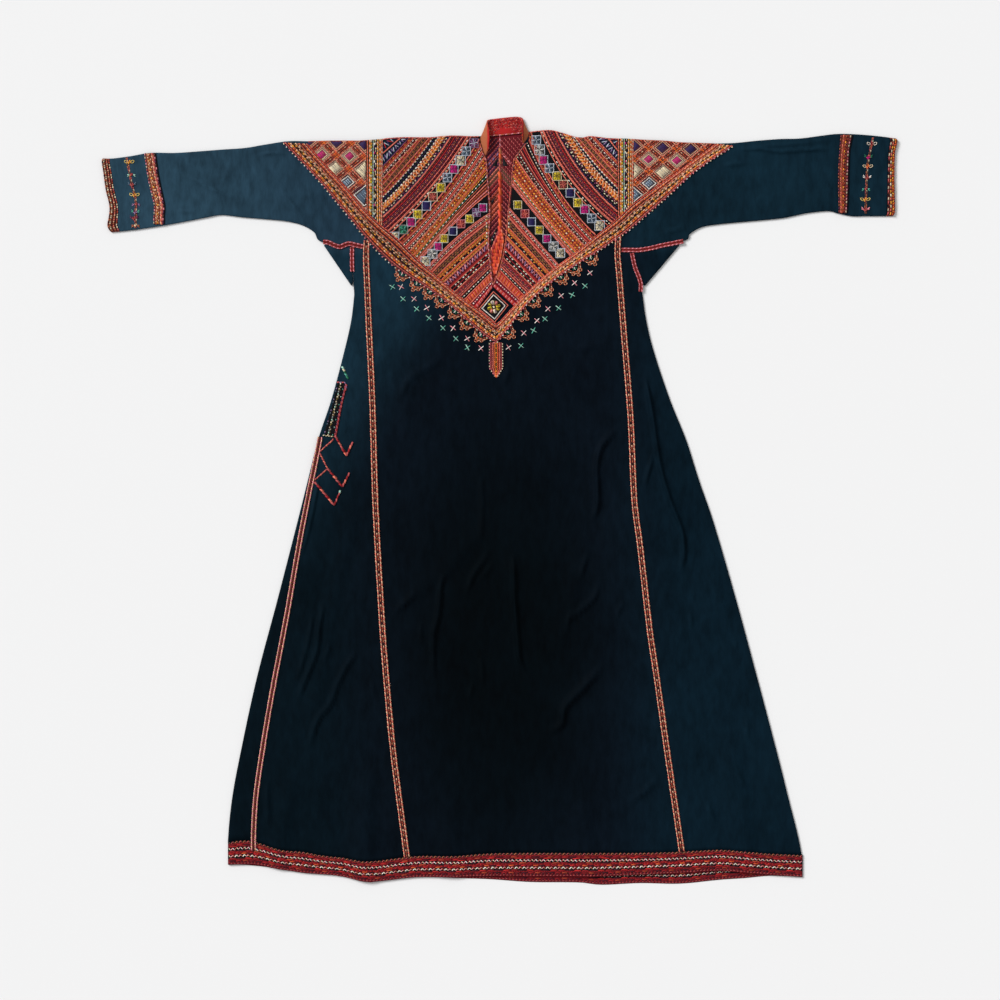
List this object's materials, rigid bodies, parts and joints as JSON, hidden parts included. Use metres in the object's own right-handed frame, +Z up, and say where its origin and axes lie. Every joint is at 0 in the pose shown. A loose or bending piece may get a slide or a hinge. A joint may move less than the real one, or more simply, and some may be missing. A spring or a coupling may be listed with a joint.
{
  "type": "embroidered dress",
  "caption": "Long embroidered dress laid flat: slanted side panels, straight sleeves, slit neck with stand collar, striped chest with a V border, stitched cuffs and hem band.",
  "frame": {"origin": "on the surface the dress lies on, under the middle of its plan", "axes": "+Z up from that surface, +Y from the hem towards the shoulders, +X along the sleeves to the right as seen from above"},
  "size_m": [1.434, 1.3828, 0.0155],
  "materials": {
    "dress_cloth": "matt dark blue-green cotton",
    "chest_silk": "silk thread embroidery in rows of red, orange, black, white, magenta and yellow",
    "border_silk": "couched orange and red silk cords with dark and white dashes",
    "hem_silk": "dark red silk stitching with pale zigzags on black",
    "cuff_silk": "red and orange silk stitching",
    "seam_silk": "pink-red silk lines with an orange filling",
    "collar_silk": "orange-red silk stitching",
    "facing_silk": "dark red and orange silk ribs, the inside of the back"
  },
  "bodies": {
    "root": {"front_panel": "dress_cloth", "back_panel": "dress_cloth", "side_front_left": "dress_cloth", "side_back_left": "dress_cloth", "side_front_right": "dress_cloth", "side_back_right": "dress_cloth", "sleeve_left": "dress_cloth", "sleeve_right": "dress_cloth", "gusset_left": "dress_cloth", "gusset_right": "dress_cloth", "chest_left": "chest_silk", "chest_right": "chest_silk", "wing_left": "chest_silk", "wing_right": "chest_silk", "slit_diamond": "chest_silk", "chest_border_left": "border_silk", "chest_border_right": "border_silk", "shoulder_band_left": "border_silk", "shoulder_band_right": "border_silk", "chest_tab": "border_silk", "hem_band": "hem_silk", "cuff_edge_left": "cuff_silk", "cuff_edge_right": "cuff_silk", "cuff_band_left": "cuff_silk", "cuff_band_right": "cuff_silk", "front_seam_braid_left": "seam_silk", "front_seam_braid_right": "seam_silk", "side_seam_braid": "seam_silk", "underarm_braid_left": "seam_silk", "underarm_braid_right": "seam_silk", "gusset_braid_left": "seam_silk", "gusset_braid_right": "seam_silk", "side_patch": "seam_silk", "collar": "collar_silk", "back_neck_facing": "facing_silk"}
  },
  "joints": []
}
